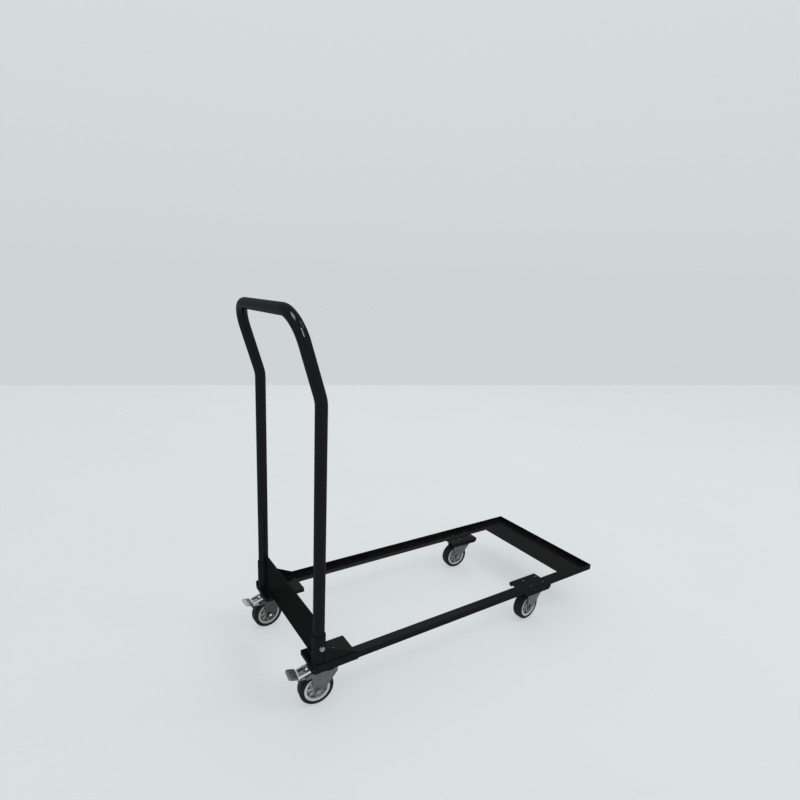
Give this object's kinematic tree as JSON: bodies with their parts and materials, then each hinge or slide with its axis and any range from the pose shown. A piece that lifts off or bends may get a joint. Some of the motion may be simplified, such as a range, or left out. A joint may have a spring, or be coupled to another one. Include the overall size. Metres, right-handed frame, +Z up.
{
  "type": "folding chair trolley",
  "caption": "Low steel trolley for stacked folding chairs: lipped angle rails, a bent tube push handle at one end and swivel casters, the rear ones with foot brakes.",
  "frame": {"origin": "on the floor, under the middle of the trolley's overall box", "axes": "+X forward, away from the push handle; +Y to the left of the person who pushes; +Z up"},
  "size_m": [1.202, 0.4876, 1.0945],
  "materials": {
    "black_paint": "gloss black powder coat",
    "zinc_steel": "bright zinc plate",
    "spring_steel": "plain spring steel",
    "wheel_plastic": "light grey moulded plastic",
    "tyre_rubber": "black rubber",
    "brake_rubber": "black rubber",
    "pad_plastic": "dark grey moulded plastic"
  },
  "bodies": {
    "trolley_frame": {"caster_washers": "zinc_steel", "front_caster_bolts": "zinc_steel", "front_end_tray": "black_paint", "front_left_caster_channel": "black_paint", "front_left_top_plate": "zinc_steel", "front_right_caster_channel": "black_paint", "front_right_top_plate": "zinc_steel", "handle_bolts": "zinc_steel", "handle_washers": "zinc_steel", "king_pins": "zinc_steel", "left_gusset": "black_paint", "left_handle_socket": "black_paint", "left_side_rail": "black_paint", "push_handle": "black_paint", "rear_caster_bolts": "zinc_steel", "rear_end_plate": "black_paint", "rear_left_corner_plate": "black_paint", "rear_left_top_plate": "zinc_steel", "rear_right_corner_plate": "black_paint", "rear_right_top_plate": "zinc_steel", "right_gusset": "black_paint", "right_handle_socket": "black_paint", "right_side_rail": "black_paint", "swivel_balls": "zinc_steel"},
    "rear_left_foot_brake": {"rear_left_brake_pedal": "zinc_steel", "rear_left_pedal_pad": "pad_plastic", "rear_left_brake_shoe": "brake_rubber"},
    "rear_left_swivel_fork": {"rear_left_fork": "zinc_steel", "rear_left_axle_bolt": "zinc_steel", "rear_left_axle_nut": "zinc_steel", "rear_left_axle_sleeve": "zinc_steel", "rear_left_brake_pin": "zinc_steel", "rear_left_brake_spring": "spring_steel"},
    "rear_left_wheel": {"rear_left_wheel_rim": "wheel_plastic", "rear_left_tyre": "tyre_rubber"},
    "rear_right_foot_brake": {"rear_right_brake_pedal": "zinc_steel", "rear_right_pedal_pad": "pad_plastic", "rear_right_brake_shoe": "brake_rubber"},
    "rear_right_swivel_fork": {"rear_right_fork": "zinc_steel", "rear_right_axle_bolt": "zinc_steel", "rear_right_axle_nut": "zinc_steel", "rear_right_axle_sleeve": "zinc_steel", "rear_right_brake_pin": "zinc_steel", "rear_right_brake_spring": "spring_steel"},
    "rear_right_wheel": {"rear_right_wheel_rim": "wheel_plastic", "rear_right_tyre": "tyre_rubber"},
    "front_left_swivel_fork": {"front_left_fork": "zinc_steel", "front_left_axle_bolt": "zinc_steel", "front_left_axle_nut": "zinc_steel", "front_left_axle_sleeve": "zinc_steel"},
    "front_left_wheel": {"front_left_wheel_rim": "wheel_plastic", "front_left_tyre": "tyre_rubber"},
    "front_right_swivel_fork": {"front_right_fork": "zinc_steel", "front_right_axle_bolt": "zinc_steel", "front_right_axle_nut": "zinc_steel", "front_right_axle_sleeve": "zinc_steel"},
    "front_right_wheel": {"front_right_wheel_rim": "wheel_plastic", "front_right_tyre": "tyre_rubber"}
  },
  "joints": [
    {"name": "rear_left_swivel", "type": "hinge", "parent": "trolley_frame", "child": "rear_left_swivel_fork", "pos_m": [-0.485, 0.199, 0.111], "axis": [0, 0, 1], "continuous": true},
    {"name": "rear_left_wheel_spin", "type": "hinge", "parent": "rear_left_swivel_fork", "child": "rear_left_wheel", "pos_m": [-0.51688, 0.19621, 0.05], "axis": [-0.0872, 0.9962, 0], "continuous": true},
    {"name": "rear_left_brake", "type": "hinge", "parent": "rear_left_swivel_fork", "child": "rear_left_foot_brake", "pos_m": [-0.54676, 0.1936, 0.102], "axis": [0.0872, -0.9962, 0], "range_deg": [0, 12]},
    {"name": "rear_right_swivel", "type": "hinge", "parent": "trolley_frame", "child": "rear_right_swivel_fork", "pos_m": [-0.485, -0.199, 0.111], "axis": [0, 0, 1], "continuous": true},
    {"name": "rear_right_wheel_spin", "type": "hinge", "parent": "rear_right_swivel_fork", "child": "rear_right_wheel", "pos_m": [-0.51688, -0.19621, 0.05], "axis": [0.0872, 0.9962, 0], "continuous": true},
    {"name": "rear_right_brake", "type": "hinge", "parent": "rear_right_swivel_fork", "child": "rear_right_foot_brake", "pos_m": [-0.54676, -0.1936, 0.102], "axis": [-0.0872, -0.9962, 0], "range_deg": [0, 12]},
    {"name": "front_left_swivel", "type": "hinge", "parent": "trolley_frame", "child": "front_left_swivel_fork", "pos_m": [0.337, 0.199, 0.111], "axis": [0, 0, 1], "continuous": true},
    {"name": "front_left_wheel_spin", "type": "hinge", "parent": "front_left_swivel_fork", "child": "front_left_wheel", "pos_m": [0.30512, 0.20179, 0.05], "axis": [0.0872, 0.9962, 0], "continuous": true},
    {"name": "front_right_swivel", "type": "hinge", "parent": "trolley_frame", "child": "front_right_swivel_fork", "pos_m": [0.337, -0.199, 0.111], "axis": [0, 0, 1], "continuous": true},
    {"name": "front_right_wheel_spin", "type": "hinge", "parent": "front_right_swivel_fork", "child": "front_right_wheel", "pos_m": [0.30512, -0.20179, 0.05], "axis": [-0.0872, 0.9962, 0], "continuous": true}
  ]
}
